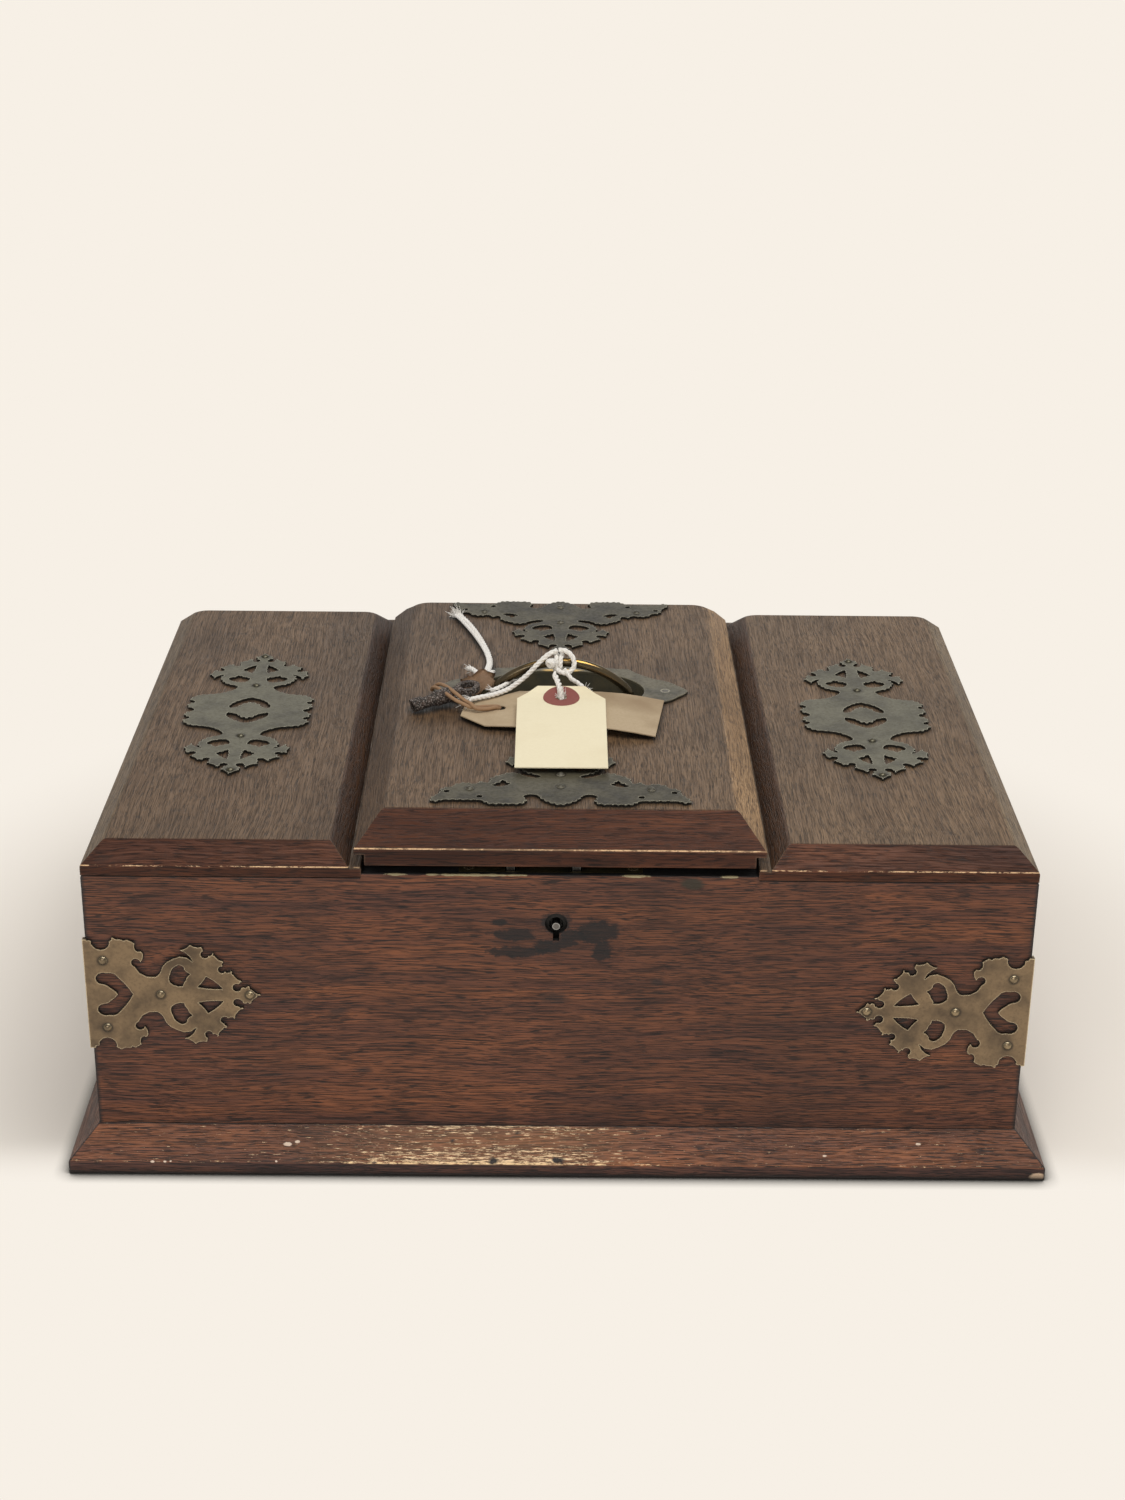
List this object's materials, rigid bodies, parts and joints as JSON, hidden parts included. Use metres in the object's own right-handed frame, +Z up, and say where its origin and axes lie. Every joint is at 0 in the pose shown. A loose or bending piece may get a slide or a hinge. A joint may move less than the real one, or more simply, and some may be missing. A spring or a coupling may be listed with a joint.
{
  "type": "humidor",
  "caption": "Oak humidor with a raised hinged lid between fixed bevelled top boards, pierced brass mounts, a recessed bail handle, cedar lining, a lock and a key tied on with paper tags.",
  "frame": {"origin": "centre of the underside", "axes": "+X to the right seen from the front, +Y to the back, +Z up; the lid's hinges are at the back"},
  "size_m": [0.431, 0.323, 0.1879],
  "materials": {
    "oak_case": "old dark red-brown oak, waxed",
    "oak_top": "faded grey-brown oak",
    "oak_plinth": "dark red-brown oak, rubbed edges",
    "cedar": "bare cedar",
    "baize": "green baize",
    "mount_brass": "pierced brass, dull bronze patina",
    "top_brass": "pierced brass, olive-grey patina",
    "bail_brass": "handle brass, worn bright",
    "lock_brass": "lock and hinge brass",
    "humidifier_brass": "plain brass",
    "steel": "old steel",
    "porous_pad": "porous clay pad",
    "paper": "cream tag paper",
    "patch": "red-brown tag patch",
    "kraft": "tan tag card",
    "iron": "dark iron key",
    "string": "white cotton string"
  },
  "bodies": {
    "case": {"front_board": "oak_case", "back_board": "oak_case", "left_side_board": "oak_case", "right_side_board": "oak_case", "bottom_board": "oak_case", "baize_base": "baize", "front_plinth": "oak_plinth", "back_plinth": "oak_plinth", "left_plinth": "oak_plinth", "right_plinth": "oak_plinth", "left_top_board": "oak_top", "right_top_board": "oak_top", "back_rail": "oak_top", "left_bearer": "oak_case", "right_bearer": "oak_case", "front_lining": "cedar", "back_lining": "cedar", "left_lining": "cedar", "right_lining": "cedar", "cedar_floor": "cedar", "left_divider": "cedar", "right_divider": "cedar", "left_corner_mount": "mount_brass", "right_corner_mount": "mount_brass", "left_ornament": "top_brass", "right_ornament": "top_brass", "case_pins": "mount_brass", "lock_case": "steel", "lock_cap": "steel", "lock_selvedge": "lock_brass", "drill_pin": "steel", "lock_spring": "steel", "case_screws": "lock_brass", "lower_hinge_leaves": "lock_brass", "hinge_pins": "steel"},
    "lid": {"lid_board": "oak_top", "lid_panel": "cedar", "front_lid_plate": "top_brass", "back_lid_plate": "top_brass", "lid_pins": "top_brass", "handle_pan": "top_brass", "handle_screws": "top_brass", "link_plate": "lock_brass", "upper_hinge_leaves": "lock_brass", "lid_screws": "lock_brass", "humidifier_case": "humidifier_brass", "humidifier_pad": "porous_pad", "humidifier_grille": "humidifier_brass", "paper_tag": "paper", "tag_patch": "patch", "big_tag": "kraft", "key": "iron", "tag_string": "string", "key_string": "string", "loose_string": "string"},
    "bail": {"bail": "bail_brass", "bail_knot": "string"},
    "bolt": {"lock_bolt": "lock_brass"}
  },
  "joints": [
    {"name": "lid_hinge", "type": "hinge", "parent": "case", "child": "lid", "pos_m": [0, 0.12785, 0.1547], "axis": [-1, 0, 0], "range_deg": [0, 95]},
    {"name": "bolt_slide", "type": "slide", "parent": "case", "child": "bolt", "axis": [1, 0, 0], "range_m": [0, 0.005]},
    {"name": "bail_hinge", "type": "hinge", "parent": "lid", "child": "bail", "pos_m": [0, 0.004, 0.1585], "axis": [-1, 0, 0], "range_deg": [0, 95], "deforming": ["tag_string", "key_string", "bail_knot"]}
  ]
}
